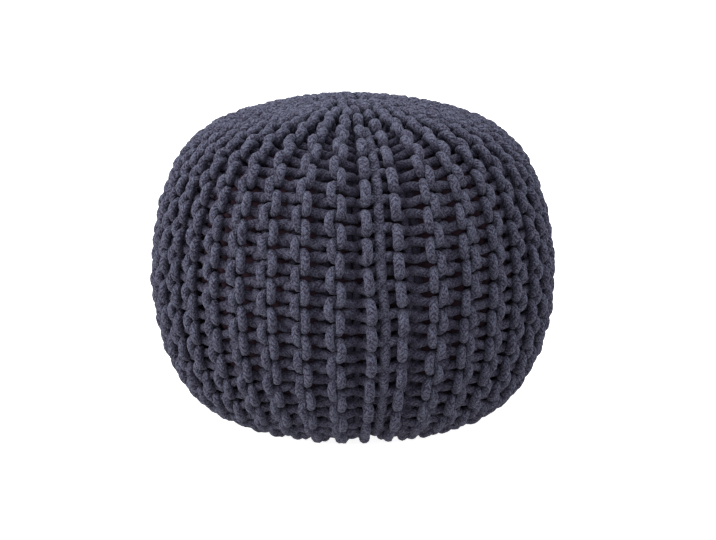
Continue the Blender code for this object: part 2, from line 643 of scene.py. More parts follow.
    def at(self, turns: np.ndarray) -> tuple[np.ndarray, ...]:
        """The cord after this many stitches.

        Args:
            turns: whole stitches and parts of one.

        Returns:
            Metres down the cloth, the place across it from -1 at the feet to 1 at the heads, metres out of
            its middle, and how wide the cord is against its full width.
        """
        whole = np.floor(turns)
        phase = (turns - whole) * self.points
        number = np.arange(self.points + 1)
        closed = np.concatenate((self.cord, self.cord[:1] + (self.pitch, 0.0, 0.0)))
        down, across, out = (np.interp(phase, number, closed[:, axis]) for axis in range(3))
        low, high = self.cord[:, 1].min(), self.cord[:, 1].max()
        share = (2.0 * across - low - high) / (high - low)
        share = np.tanh(self.squareness * share) / math.tanh(self.squareness)
        girth = np.interp(phase, number, np.append(self.girth, self.girth[0]))
        return (down - self.cord[0, 0] + self.pitch * whole) * MM, share, out * MM, girth


def nearest_end(turns: np.ndarray) -> np.ndarray:
    """The nearest end of a loop, in stitches: a foot at each whole one, and a head between two."""
    return np.round(2.0 * turns) / 2.0


@dataclass
class Loops:
    """The loops of one row before they go round the pouf, point by point along their cord.

    Attributes:
        turns: stitches from the start of the row.
        length: distance from the top pole, along the profile.
        across: degrees from the middle of the row.
        share: place across the row, from -1 at its feet to 1 at its heads.
        out: metres out of the middle of the cloth, towards the side that the feet lie on.
        girth: width of the cord against its full width.
    """

    turns: np.ndarray
    length: np.ndarray
    across: np.ndarray
    share: np.ndarray
    out: np.ndarray
    girth: np.ndarray

    def part(self, keep: slice) -> "Loops":
        """A stretch of the row."""
        return Loops(*(values[keep] for values in vars(self).values()))


@dataclass
class KnitCover:
    """The cover in garter stitch: rows of loops from pole to pole, every second pair of rows a ridge.

    Angles are from the join, anticlockwise as seen from above. Rows crowd where there is less room for them
    than round the middle of the pouf.

    Attributes:
        form: what the cover is stretched over.
        stitch: the settled stitch that every row repeats.
        cord_radius: half the cord's width.
        thickness: its thickness against its width, as it lies pressed in the cloth.
        inset: how deep under the outline the foremost cords' middle lines lie, in cord radii.
        stretch: from stitch to stitch, against the settled stitch.
        relief: how far the cord goes in and out of the cloth, against the settled stitch.
        join_angle: from the front of the pouf to the join.
        ridges: full ridges, of two rows each.
        first_edge: angle of the first row, which is single.
        last_edge: angle of the last row.
        first_ridge: angle of the first full ridge.
        last_ridge: angle of the last one.
        spacing_swing: from ridge to ridge the first are this much wider, the last this much narrower.
        half_overlap: how far a loop reaches past the line that its row shares with the next one.
        gather: share of that overlap that is lost where rows crowd.
        shorten: share of its length down the cloth that the end of a loop loses there.
        end_share: place across the row at which that is in full.
        lean: millimetres that the end of a loop slants by.
        slim: share of its width that the cord loses half-way across the row, where there is room.
        plump: the cord's width against its full width, on the crown where rows crowd.
        pleat: how much deeper the relief is there.
        shingle: how far half stitches lie over one another where rows crowd.
        shingle_level: how far they are pulled in as a whole, against that.
        base_press: share of the relief that is pressed flat under the base.
        base_from: how far the outward direction points down where that begins, from 0 to 1.
        base_run: how much further it points down where it is whole.
        edge_stretch: how much longer an edge row's loop is at the join, or shorter where it is below 0.
        edge_straight: how straight it lies along the join, from 0 to 1.
        straight_share: share of the way from the middle of the row to the join where that is in full.
        edge_girth: least width of its cord, against the full width.
        edge_dive: how deep the loop dives on its way there.
        near_level: how near the join the middle of an edge row counts, from 0 to 1.
        near_slope: how much more that is at the join, and how much less at the row's other side.
        slide_error: usual error of a half stitch down the cloth, in millimetres.
        sway_error: across it.
        stand_error: out of it.
        first_sunk: least and greatest distance from the axis at which every second strip sinks.
        later_sunk: the same for every second one of the rest.
        sunk_depth: how deep a sunk strip lies under its neighbours.
        least_shown: share of its width below which a strip isn't built.
        pole_gap: distance from the poles at which rows end.
        axis_gap: least distance of a cord's middle line from the axis.
        start: from the top pole to the first stitch.
        start_swing: how far rows start before and after that, in stitches.
        start_turn: radians of that swing from row to row.
        start_phase: radians of it at the first row.
        steps: points of the cord for each stitch.
        seed: of the errors, and of where strips sink.
        seed_step: from row to row.
        pieces: how many the rows are shared among.
        profile: the middle of the cloth.
        crowding: how the strips share the way round.
        feet: angle of each row's feet.
        heads: angle of its heads.
    """

    form: Form
    stitch: Stitch
    cord_radius: float = 0.0057
    thickness: float = 0.90
    inset: float = 0.55
    stretch: float = 0.96
    relief: float = 1.35
    join_angle: float = 8.0
    ridges: int = 36
    first_edge: float = 4.2
    last_edge: float = 360.0 - 4.0
    first_ridge: float = 14.8
    last_ridge: float = 360.0 - 12.6
    spacing_swing: float = 0.25
    half_overlap: float = 1.50
    gather: float = 0.9
    shorten: float = 0.25
    end_share: float = 2.0 / 3.0
    lean: float = 1.2
    slim: float = 0.18
    plump: float = 1.02
    pleat: float = 1.0
    shingle: float = 0.00372
    shingle_level: float = 0.5
    base_press: float = 0.6
    base_from: float = 0.3
    base_run: float = 0.6
    edge_stretch: float = -0.02
    edge_straight: float = 0.80
    straight_share: float = 0.5
    edge_girth: float = 0.95
    edge_dive: float = 0.0040
    near_level: float = 0.55
    near_slope: float = 0.6
    slide_error: float = 1.12
    sway_error: float = 0.70
    stand_error: float = 0.49
    first_sunk: tuple[float, float] = (0.046, 0.068)
    later_sunk: tuple[float, float] = (0.024, 0.034)
    sunk_depth: float = 0.018
    least_shown: float = 0.05
    pole_gap: float = 0.004
    axis_gap: float = 0.001
    start: float = 0.0142
    start_swing: float = 0.07
    start_turn: float = 0.61
    start_phase: float = 0.4
    steps: int = 24
    seed: int = 11
    seed_step: int = 101
    pieces: int = 6
    profile: Profile = field(init=False)
    crowding: Crowding = field(init=False)
    feet: np.ndarray = field(init=False)
    heads: np.ndarray = field(init=False)

    def __post_init__(self) -> None:
        """Places the rows and shares the way round among them."""
        self.profile = self.form.under(self.lift + self.inset * self.cord_radius)
        gaps = self.ridges - 1
        number = np.arange(self.ridges)
        mean = (self.last_ridge - self.first_ridge) / gaps
        centres = self.first_ridge + mean * number
        centres += self.spacing_swing * gaps / np.pi * np.sin(np.pi * number / gaps)
        columns = np.concatenate(([self.first_edge], centres, [self.last_edge]))
        valleys = (columns[1:] + columns[:-1]) / 2.0
        shared = np.empty(2 * self.ridges + 1)
        shared[0::2] = valleys
        shared[1::2] = centres
        self.heads = np.concatenate((shared + self.half_overlap, [self.last_edge]))
        self.feet = np.concatenate(([self.first_edge], shared - self.half_overlap))
        edges = np.concatenate(([valleys[-1] - 360.0], valleys))
        self.crowding = Crowding(self.profile, edges, self.sinking_radii())

    @property
    def lift(self) -> float:
        """How far the ends of the loops stand out from the middle of the cloth."""
        return float(self.stitch.cord[:, 2].max()) * self.relief * MM

    @property
    def pitch(self) -> float:
        """From stitch to stitch along the middle of the cloth, so that it is right on the outside."""
        return self.stitch.pitch * MM * self.stretch

    @property
    def rows(self) -> int:
        """Rows of knitting from the first edge to the last."""
        return self.feet.size

    @property
    def stitches(self) -> int:
        """Stitches in a row, from pole to pole."""
        return int(self.profile.length[-1] / self.pitch) + 1

    def sinking_radii(self) -> np.ndarray:
        """Draws where each strip sinks.

        Returns:
            Its distance from the axis there, with the join's strip first, or 0 for one that never does.
        """
        chance = np.random.default_rng(self.seed)
        strip = np.arange(self.ridges + 1)
        radii = np.zeros(strip.size)
        for sinks, between in ((strip % 2 == 1, self.first_sunk), (strip % 4 == 2, self.later_sunk)):
            radii[sinks] = chance.uniform(*between, sinks.sum())
        return radii

    def strip_of(self, row: int) -> int:
        """The strip that a row lies in: 0 for the join's, and then one for each ridge."""
        return 0 if self.is_edge(row) else (row - 1) // 2 + 1

    def is_edge(self, row: int) -> bool:
        """Whether the row is the first or the last."""
        return row in (0, self.rows - 1)

    def middle(self, row: int) -> float:
        """Angle of the middle of a row."""
        return (self.heads[row] + self.feet[row]) / 2.0

    def uneven(self, chance: np.random.Generator, turns: np.ndarray, size: float) -> np.ndarray:
        """A small error for each half stitch, as hands make.

        Args:
            chance: what it is drawn from.
            turns: stitches from the start of the row, at each point.
            size: the usual error, in millimetres.

        Returns:
            The error in metres at each point.
        """
        half_stitch = np.arange(2 * self.stitches + 2)
        return np.interp(2.0 * turns, half_stitch, chance.normal(0.0, size * MM, half_stitch.size))

    def edge_shape(
        self, row: int, turns: np.ndarray, down: np.ndarray, share: np.ndarray, out: np.ndarray
    ) -> tuple[np.ndarray, np.ndarray, np.ndarray]:
        """Draws the loops of an edge row straight along the join.

        Args:
            row: the first row or the last.
            turns: stitches from the start.
            down: metres down the cloth.
            share: the place across the row, from -1 at its feet to 1 at its heads.
            out: metres out of the middle of the cloth.

        Returns:
            The new places down the cloth, half a stitch on, across the row, and out of the cloth.
        """
        pitch = self.stitch.pitch * MM
        side = 1.0 if row == 0 else -1.0
        to_edge = -side * share
        middle = pitch * (np.round(turns) if row == 0 else np.floor(turns) + 0.5)
        near = smooth_step(self.near_level + self.near_slope * to_edge)
        down = middle + (down - middle) * (1.0 + self.edge_stretch * near)
        straight = self.edge_straight * smooth_step(to_edge / self.straight_share)
        share = share - side * straight * (1.0 - to_edge)
        out = out - side * self.edge_dive * hump(near)
        return down + pitch / 2.0, share, out

    def loops(self, row: int, chance: np.random.Generator) -> Loops:
        """Repeats the stitch from pole to pole, smaller where rows crowd.

        Args:
            row: number of the row.
            chance: what its errors are drawn from.

        Returns:
            The row's loops.
        """
        turns = np.arange(self.stitches * self.steps + 1) / self.steps
        slide = self.uneven(chance, turns, self.slide_error)
        down, share, out, girth = self.stitch.at(turns)
        if self.is_edge(row):
            down, share, out = self.edge_shape(row, turns, down, share, out)
            girth = np.maximum(girth, self.edge_girth)
        swing = self.start_swing * self.pitch * math.sin(self.start_turn * row + self.start_phase)
        length = self.stretch * down + self.start + swing + slide
        _, room = self.crowding.angle(length, np.full(length.size, self.middle(row)))
        crowded = np.clip(1.0 - room, 0.0, 1.0)
        shorter = self.shorten * crowded * smooth_step(np.abs(share) / self.end_share)
        length -= shorter * (self.stretch * down - self.pitch * nearest_end(turns))
        reach = (self.heads[row] - self.feet[row]) / 2.0
        across = (reach - self.gather * self.half_overlap * crowded) * share
        return Loops(turns, length, across, share, out, girth)

    def showing(self, strip: int, loops: Loops) -> slice:
        """The stretch of a row that is built.

        Args:
            strip: the strip that it lies in.
            loops: its loops.

        Returns:
            All but the ends that are sunk or at a pole.
        """
        shown = self.crowding.shown_at(strip, loops.length) > self.least_shown
        below_top = loops.length > self.pole_gap
        above_base = loops.length < self.profile.length[-1] - self.pole_gap
        points = np.flatnonzero(shown & below_top & above_base)
        return slice(points[0], points[-1] + 1)

    def stand(self, row: int, loops: Loops, tight: np.ndarray) -> np.ndarray:
        """How far the cord lies out from the middle of the cloth, but for its errors.

        Args:
            row: number of the row.
            loops: its loops.
            tight: how crowded each point is, from 0 to 1.

        Returns:
            The distance outwards at each point.
        """
        _, _, _, rise = self.profile.at(loops.length)
        side = Side.FRONT if row % 2 == 0 else Side.BACK
        pressed = self.base_press * smooth_step((-rise - self.base_from) / self.base_run)
        ease = 1.0 - pressed + self.pleat * tight * (rise > 0.0)
        shown = self.crowding.shown_at(self.strip_of(row), loops.length)
        stand = self.lift - ease * (self.lift - side.value * self.relief * loops.out)
        stand += self.shingle * tight * (np.sin(4.0 * np.pi * loops.turns) - self.shingle_level)
        return stand - self.sunk_depth * (1.0 - shown)

    def row_cord(self, row: int) -> Cord:
        """Lays one row round the pouf.

        Args:
            row: number of the row.

        Returns:
            Its cord, from the top down.
        """
        chance = np.random.default_rng(self.seed + self.seed_step * row)
        loops = self.loops(row, chance)
        loops = loops.part(self.showing(self.strip_of(row), loops))
        sway = self.uneven(chance, loops.turns, self.sway_error)
        from_end = 2.0 * (loops.turns - nearest_end(loops.turns))
        slant = self.lean * MM * from_end * smooth_step(np.abs(loops.share))
        flat = self.middle(row) + loops.across + np.degrees((sway + slant) / self.profile.radius.max())
        angle, room = self.crowding.angle(loops.length, flat)
        tight = np.clip(1.0 - room, 0.0, 1.0)
        stand = self.stand(row, loops, tight) + self.uneven(chance, loops.turns, self.stand_error)
        radius = self.cord_radius * (1.0 - self.slim * (1.0 - tight) * (1.0 - loops.share**2))
        _, _, _, rise = self.profile.at(loops.length)
        girth = loops.girth + (self.plump - loops.girth) * tight * (rise > 0.0)
        return self.place(loops.length, angle, stand, radius * girth, radius * self.thickness)

    def place(
        self, length: np.ndarray, angle: np.ndarray, stand: np.ndarray, radius: np.ndarray, depth: np.ndarray
    ) -> Cord:
        """Puts points of the cover in the room.

        Args:
            length: distance from the top pole along the middle of the cloth.
            angle: degrees from the join.
            stand: distance out from the middle of the cloth.
            radius: half the cord's width.
            depth: half its thickness outwards.

        Returns:
            The cord through those points.
        """
        away, height, out_r, out_z = self.profile.at(length)
        away = np.maximum(away + stand * out_r, self.axis_gap)
        height = np.maximum(height + stand * out_z, depth)
        turn = np.radians(angle + self.join_angle)
        around = np.c_[np.sin(turn), -np.cos(turn)]
        points = np.c_[away[:, None] * around, height]
        outward = np.c_[out_r[:, None] * around, out_z]
        # How proud a point is: the finish paints shade on the cords where this is low.
        proud = np.clip(0.5 + 0.5 * stand / self.lift, 0.0, 1.0)
        return Cord(points, radius, depth, outward, proud)

    def build(self, maker: CordMaker, material: bpy.types.Material) -> list[bpy.types.Object]:
        """Makes all rows, in as many pieces as keep each one light.

        Args:
            maker: what makes the cords.
            material: their finish.

        Returns:
            The pieces, anticlockwise from the join.
        """
        made = []
        for number, rows in enumerate(np.array_split(np.arange(self.rows), self.pieces)):
            cords = [self.row_cord(row) for row in rows]
            made.append(maker.make(f"knit_rows_{number + 1}", cords, material))
        return made


@dataclass
class SeamLacing:
    """The cord that laces the two edge rows together, one round of it for every stitch.

    Attributes:
        cover: the cover that it laces.
        cord_radius: half the cord's width.
        crowded_girth: its width against its full width where the rows crowd most.
        first_stitch: stitch of the cover that the first round lies at.
        last_stitch: the stitch at which it ends.
        aside: millimetres from the join to the lacing's middle line.
        shift: how far it is moved down, in stitches.
        later: how much further down the second pass lies, in stitches.
        deeper: how much deeper it lies, in millimetres.
        curve_points: points of the smooth curve for each point of the route.
        step: from point to point along the finished cord.
        route: one round, as millimetres across that line, the share of a stitch down it, and millimetres out
            from the middle of the cloth.
    """

    cover: KnitCover
    cord_radius: float = 0.0055
    crowded_girth: float = 0.6
    first_stitch: float = 3.0
    last_stitch: float = 20.0
    aside: float = -1.5
    shift: float = 0.3
    later: float = 0.5
    deeper: float = 4.5
    curve_points: int = 8
    step: float = 0.0025
    route: Sequence[tuple[float, float, float]] = (
        (0.4, 0.04, 0.9),
        (0.4, 0.26, 2.1),
        (0.2, 0.50, 2.3),
        (-0.2, 0.72, 1.5),
        (-2.8, 0.86, 0.9),
        (-8.5, 0.90, 0.2),
        (-16.0, 0.92, -8.0),
        (-6.0, 0.95, -11.5),
        (8.0, 0.95, -11.5),
        (18.0, 0.92, -8.0),
        (10.0, 0.88, 0.0),
        (3.2, 0.93, 0.7),
    )

    def cord(self, later: float, deeper: float) -> Cord:
        """One pass of the lacing, as one smooth cord.

        Args:
            later: how far down the pass is moved, in stitches.
            deeper: how much deeper it lies, in millimetres.

        Returns:
            The cord.
        """
        rounds = np.arange(self.first_stitch, self.last_stitch)
        route = np.array(self.route)
        across = np.tile(route[:, 0], rounds.size) + self.aside
        down = (rounds[:, None] + route[None, :, 1]).ravel() + self.shift + later
        out = np.tile(route[:, 2], rounds.size) - deeper
        points = np.c_[across * MM, down * self.cover.pitch + self.cover.start, out * MM]
        across, length, out = self.smooth(points).T
        _, room = self.cover.crowding.angle(length, np.zeros(length.size))
        flat = np.degrees(across / self.cover.profile.radius.max())
        angle, _ = self.cover.crowding.angle(length, flat)
        full = np.clip(room, 0.0, 1.0)
        radius = self.cord_radius * (self.crowded_girth + (1.0 - self.crowded_girth) * full)
        return self.cover.place(length, angle, out, radius, radius)

    def smooth(self, points: np.ndarray) -> np.ndarray:
        """Draws a smooth curve through the points.

        Args:
            points: the points, of which the first and the last only steer it.

        Returns:
            Points at even steps along the curve.
        """
        before, start, end, after = points[:-3], points[1:-2], points[2:-1], points[3:]
        share = np.linspace(0.0, 1.0, self.curve_points, endpoint=False)[None, :, None]
        bends = (
            2.0 * start[:, None]
            + (end - before)[:, None] * share
            + (2.0 * before - 5.0 * start + 4.0 * end - after)[:, None] * share**2
            + (3.0 * start - before - 3.0 * end + after)[:, None] * share**3
        )
        dense = 0.5 * bends.reshape(-1, 3)
        steps = np.concatenate(([0.0], np.cumsum(np.linalg.norm(np.diff(dense, axis=0), axis=1))))
        even = np.linspace(0.0, steps[-1], int(steps[-1] / self.step))
        return np.stack([np.interp(even, steps, dense[:, axis]) for axis in range(3)], axis=1)

    def build(self, maker: CordMaker, material: bpy.types.Material) -> bpy.types.Object:
        """Makes the piece, of two passes."""
        return maker.make("lacing_cord", [self.cord(0.0, 0.0), self.cord(self.later, self.deeper)], material)


@dataclass
class Filling:
    """The filled inside, which shows only as darkness between the cords. Its dark reddish colour is painted
    shade of the deep gaps.

    Attributes:
        form: what the cover is stretched over.
        depth: how deep under the outline its surface lies.
        segments: faces round it.
        rings: points of its outline.
        merge_distance: distance within which doubled points become one.
    """

    form: Form
    depth: float
    segments: int = 72
    rings: int = 48
    merge_distance: float = 1e-5

    def build(self, material: bpy.types.Material) -> bpy.types.Object:
        """Turns the line under the cords round the axis into a closed body.

        Args:
            material: its finish.

        Returns:
            The piece.
        """
        line = self.form.under(self.depth)
        radius, height, _, _ = line.at(np.linspace(0.0, line.length[-1], self.rings))
        radius[[0, -1]] = 0.0
        shape = bmesh.new()
        points = [shape.verts.new((x, 0.0, z)) for x, z in zip(radius, height)]
        edges = [shape.edges.new(pair) for pair in zip(points, points[1:])]
        bmesh.ops.spin(
            shape,
            geom=points + edges,
            axis=(0.0, 0.0, 1.0),
            cent=(0.0, 0.0, 0.0),
            steps=self.segments,
            angle=2.0 * math.pi,
            use_merge=True,
        )
        bmesh.ops.remove_doubles(shape, verts=shape.verts, dist=self.merge_distance)
        bmesh.ops.recalc_face_normals(shape, faces=shape.faces)
        mesh = bpy.data.meshes.new("filled_inside")
        shape.to_mesh(mesh)
        shape.free()
        mesh.materials.append(material)
        mesh.shade_smooth()
        return show("filled_inside", mesh)


# ---- finishes --------------------------------------------------------------------------------------------


def rgba(colour: Colour) -> tuple[float, float, float, float]:
    """An opaque colour, as sockets take it."""
    return (*colour, 1.0)


@dataclass
class Wiring:
    """Adds nodes to one shader tree, and links them."""

    tree: bpy.types.NodeTree

    def feed(self, node: bpy.types.Node, inputs: Mapping[str | int, object]) -> None:
        """Sets a node's inputs.

        Args:
            node: the node.
            inputs: for each input, its value or the output that is linked to it.
        """
        for key, value in inputs.items():
            if isinstance(value, bpy.types.NodeSocket):
                self.tree.links.new(value, node.inputs[key])
            else:
                node.inputs[key].default_value = value

    def add(self, kind: str, inputs: Mapping[str | int, object], **settings: object) -> bpy.types.Node:
        """Adds a node.

        Args:
            kind: its type.
            inputs: for each input, its value or the output that is linked to it.
            settings: its other settings, which decide what inputs it has.

        Returns:
            The node.
        """
        node = self.tree.nodes.new(kind)
        for name, value in settings.items():
            setattr(node, name, value)
        self.feed(node, inputs)
        return node

    def reckon(
        self, operation: str, first: object, second: object = 0.0, clamp: bool = False
    ) -> bpy.types.NodeSocket:
        """One step of arithmetic on outputs or numbers."""
        inputs = {0: first, 1: second}
        return self.add("ShaderNodeMath", inputs, operation=operation, use_clamp=clamp).outputs[0]

    def total(self, *parts: tuple[bpy.types.NodeSocket, float]) -> bpy.types.NodeSocket:
        """Adds up outputs, each times its weight.

        Args:
            parts: outputs with their weights.

        Returns:
            Their sum.
        """
        weighted = [self.reckon("MULTIPLY", output, weight) for output, weight in parts]
        result = weighted[0]
        for part in weighted[1:]:
            result = self.reckon("ADD", result, part)
        return result

    def mix(self, share: bpy.types.NodeSocket, first: object, second: object) -> bpy.types.NodeSocket:
        """A colour from the first to the second, each of which is a colour or an output."""
        node = self.add("ShaderNodeMix", {"Factor": share, "A": first, "B": second}, data_type="RGBA")
        return node.outputs["Result"]

    def on_object(self, kind: str, inputs: Mapping[str | int, object]) -> bpy.types.Node:
        """A texture node on the object's own coordinates."""
        place = self.add("ShaderNodeTexCoord", {})
        return self.add(kind, {"Vector": place.outputs["Object"], **inputs})


def bare_material(
    name: str, inputs: Mapping[str, object]
) -> tuple[bpy.types.Material, Wiring, bpy.types.Node]:
    """Starts a material.

    Args:
        name: its name.
        inputs: what is the same all over it, by input of its shader.

    Returns:
        The material, what adds nodes to it, and its shader.
    """
    material = bpy.data.materials.new(name)
    material.use_nodes = True
    wiring = Wiring(material.node_tree)
    shader = material.node_tree.nodes["Principled BSDF"]
    wiring.feed(shader, inputs)
    return material, wiring, shader


@dataclass(frozen=True)
class Braid:
    """The surface of a braided cotton cord, as a node group that reads the cord's own UV map.

    Strands run to and fro round the cord. On them lie fibres, tufts and blotches. Each has a weight in how
    light the surface is there, and all but the blotches have one in how high it is. Where a thing has both,
    the surface is lighter where it is high and darker where it is low: random grain, with painted highlight
    on the strands, fibres and tufts and painted shade between them.

    Attributes:
        name: the group's name.
        fibre_across: fibres to a strand.
        fibre_along: how often a fibre changes, to a plait.
        fibre_detail: finer layers of that noise.
        fibre_roughness: how strong they are.
        tuft_scale: tufts to a metre.
        tuft_size: distance from the middle of a tuft that counts as level.
        blotch_scale: blotches to a metre.
        blotch_detail: finer layers of that noise.
        blotch_roughness: how strong they are.
        weave_height: weight of the strands in the height.
        fibre_height: weight of the fibres in it.
        tuft_height: weight of the tufts in it.
        weave_painted_light: weight of the strands in how light the surface is: painted highlight on their
            crests and painted shade between them.
        fibre_grain_and_painted_light: weight of the fibres in it: random grain, lighter where they are high,
            so partly painted highlight and shade.
        tuft_grain_and_painted_light: weight of the tufts in it: lighter in their high middles, so partly
            painted highlight.
        blotch_tone: weight of the blotches in it.
        middle_tone: how light the surface is between dark and light.
    """

    name: str = "braided cord"
    fibre_across: float = 2.6
    fibre_along: float = 2.2
    fibre_detail: float = 2.0
    fibre_roughness: float = 0.7
    tuft_scale: float = 520.0
    tuft_size: float = 0.45
    blotch_scale: float = 110.0
    blotch_detail: float = 2.0
    blotch_roughness: float = 0.6
    weave_height: float = 0.35
    fibre_height: float = 1.6
    tuft_height: float = 1.0
    weave_painted_light: float = 0.15
    fibre_grain_and_painted_light: float = 2.7
    tuft_grain_and_painted_light: float = 1.2
    blotch_tone: float = 0.9
    middle_tone: float = 0.5

    def group(self) -> bpy.types.ShaderNodeTree:
        """Builds the group, or finds it if it is already there.

        Returns:
            A group that takes the plaits round the cord and the length of a strand in metres, and gives the
            surface's height, and how light it is from 0 to 1.
        """
        if self.name in bpy.data.node_groups:
            return bpy.data.node_groups[self.name]
        group = bpy.data.node_groups.new(self.name, "ShaderNodeTree")
        for name in ("Plaits", "Strand Length"):
            group.interface.new_socket(name, in_out="INPUT", socket_type="NodeSocketFloat")
        for name in ("Height", "Tone"):
            group.interface.new_socket(name, in_out="OUTPUT", socket_type="NodeSocketFloat")
        wiring = Wiring(group)
        given = wiring.add("NodeGroupInput", {})
        uv_map = wiring.add("ShaderNodeUVMap", {}, uv_map="UVMap")
        split = wiring.add("ShaderNodeSeparateXYZ", {"Vector": uv_map.outputs["UV"]})
        along = wiring.reckon("DIVIDE", split.outputs["X"], given.outputs["Strand Length"])
        around = wiring.reckon("MULTIPLY", split.outputs["Y"], given.outputs["Plaits"])
        slope = wiring.reckon("PINGPONG", wiring.reckon("MULTIPLY", around, 2.0), 1.0)
        strand = wiring.reckon("ADD", along, slope)
        weave = wiring.reckon("SINE", wiring.reckon("MULTIPLY", strand, 2.0 * math.pi))
        fibres = self.fibres(wiring, strand, around)
        tufts = self.tufts(wiring)
        blotches = self.blotches(wiring)
        height = wiring.total(
            (weave, self.weave_height), (fibres, self.fibre_height), (tufts, self.tuft_height)
        )
        # How light the surface is: random grain, with painted highlight where it is high and painted shade
        # where it is low.
        tone = wiring.total(
            (weave, self.weave_painted_light),
            (fibres, self.fibre_grain_and_painted_light),
            (tufts, self.tuft_grain_and_painted_light),
            (blotches, self.blotch_tone),
        )
        tone = wiring.reckon("ADD", tone, self.middle_tone, clamp=True)
        wiring.add("NodeGroupOutput", {"Height": height, "Tone": tone})
        return group

    def fibres(
        self, wiring: Wiring, strand: bpy.types.NodeSocket, around: bpy.types.NodeSocket
    ) -> bpy.types.NodeSocket:
        """Noise drawn out along the strands, about 0.

        Args:
            wiring: what adds the nodes.
            strand: strands from the start of the cord.
            around: plaits round it.

        Returns:
            The noise.
        """
        across = wiring.reckon("MULTIPLY", strand, self.fibre_across)
        along = wiring.reckon("MULTIPLY", around, self.fibre_along)
        place = wiring.add("ShaderNodeCombineXYZ", {"X": across, "Y": along})
        noise = wiring.add(
            "ShaderNodeTexNoise",
            {
                "Vector": place.outputs["Vector"],
                "Scale": 1.0,
                "Detail": self.fibre_detail,
                "Roughness": self.fibre_roughness,
            },
        )
        return wiring.reckon("SUBTRACT", noise.outputs["Fac"], 0.5)

    def tufts(self, wiring: Wiring) -> bpy.types.NodeSocket:
        """Tufts of the cotton, highest in their middles."""
        cells = wiring.on_object("ShaderNodeTexVoronoi", {"Scale": self.tuft_scale})
        return wiring.reckon("SUBTRACT", self.tuft_size, cells.outputs["Distance"])

    def blotches(self, wiring: Wiring) -> bpy.types.NodeSocket:
        """Uneven dye, about 0."""
        inputs = {
            "Scale": self.blotch_scale,
            "Detail": self.blotch_detail,
            "Roughness": self.blotch_roughness,
        }
        noise = wiring.on_object("ShaderNodeTexNoise", inputs)
        return wiring.reckon("SUBTRACT", noise.outputs["Fac"], 0.5)


@dataclass(frozen=True)
class CordFinish:
    """Dyed cotton cord: a soft braided surface with lighter fibres on it, and painted shade that darkens it
    deep in the cloth and on the sides of the cords that face into it.

    Attributes:
        name: the material's name.
        dark: colour between its fibres, where the braid's low places carry painted shade.
        light: colour of its fibres at the front of the cloth, where the painted shade ends.
        painted_shade: painted shade: the colour that its fibres get deep in the cloth and on the sides of the
            cords that face into it.
        painted_shade_at: how proud a place is where its fibres have the full painted shade.
        light_at: how proud it is where they have the light one.
        plaits: how many times the strands run to and fro on their way round the cord.
        strand_length: from strand to strand along the cord.
        depth: metres of relief for a height of 1 in the surface.
        roughness: of the shader.
        specular: of the shader.
        sheen: of the shader.
        sheen_roughness: of the shader.
        sheen_tint: of the shader.
        braid: the surface.
    """

    name: str
    dark: Colour
    light: Colour
    painted_shade: Colour
    painted_shade_at: float = 0.10
    light_at: float = 1.32
    plaits: float = 3.0
    strand_length: float = 0.0042
    depth: float = 0.0009
    roughness: float = 0.95
    specular: float = 0.25
    sheen: float = 0.10
    sheen_roughness: float = 0.5
    sheen_tint: Colour = (0.72, 0.76, 1.0)
    braid: Braid = Braid()

    def make(self) -> bpy.types.Material:
        """Builds the material.

        Returns:
            The material.
        """
        same_all_over = {
            "Roughness": self.roughness,
            "Specular IOR Level": self.specular,
            "Sheen Weight": self.sheen,
            "Sheen Roughness": self.sheen_roughness,
            "Sheen Tint": rgba(self.sheen_tint),
        }
        material, wiring, shader = bare_material(self.name, same_all_over)
        braid = wiring.add(
            "ShaderNodeGroup",
            {"Plaits": self.plaits, "Strand Length": self.strand_length},
            node_tree=self.braid.group(),
        )
        # Painted shade: the proud attribute takes the fibres from the light colour to the painted shade deep
        # in the cloth and on the cords' inner sides.
        proud = wiring.add("ShaderNodeAttribute", {}, attribute_name="proud")
        painted_shade_ramp = wiring.add(
            "ShaderNodeMapRange",
            {"Value": proud.outputs["Fac"], "From Min": self.painted_shade_at, "From Max": self.light_at},
            interpolation_type="SMOOTHSTEP",
        )
        fibres = wiring.mix(painted_shade_ramp.outputs["Result"], rgba(self.painted_shade), rgba(self.light))
        bump = wiring.add(
            "ShaderNodeBump",
            {"Strength": 1.0, "Distance": self.depth, "Height": braid.outputs["Height"]},
        )
        colour = wiring.mix(braid.outputs["Tone"], rgba(self.dark), fibres)
        wiring.feed(shader, {"Base Color": colour, "Normal": bump.outputs["Normal"]})
        return material


@dataclass(frozen=True)
class PlainCloth:
    """Matt cloth with a fine uneven grain, for the inside, whose colour is painted shade, and for the floor.

    Attributes:
        name: the material's name.
        colour: the lightest colour of its grain.
        grain: scale of the grain's noise.
        darkest: the darkest colour of it, against that.
        roughness: of the shader.
        specular: of the shader.
        glow: strength of its own white light.
    """

    name: str
    colour: Colour
    grain: float
    darkest: float = 0.9
    roughness: float = 0.95
    specular: float = 0.1
    glow: float = 0.0

    def make(self) -> bpy.types.Material:
        """Builds the material.

        Returns:
            The material.
        """
        same_all_over = {"Roughness": self.roughness, "Specular IOR Level": self.specular}
        if self.glow > 0.0:
            same_all_over |= {"Emission Color": rgba((1.0, 1.0, 1.0)), "Emission Strength": self.glow}
        material, wiring, shader = bare_material(self.name, same_all_over)
        noise = wiring.on_object("ShaderNodeTexNoise", {"Scale": self.grain})
        dark = rgba(tuple(self.darkest * part for part in self.colour))
        tint = wiring.mix(noise.outputs["Fac"], dark, rgba(self.colour))
        wiring.feed(shader, {"Base Color": tint})
        return material


NAVY_COTTON = CordFinish(
    "navy_cotton_cord",
    dark=(0.026, 0.020, 0.040),
    light=(0.150, 0.157, 0.220),
    # painted shade of the cords deep in the cloth and on their inner sides
    painted_shade=(0.042, 0.030, 0.051),
)
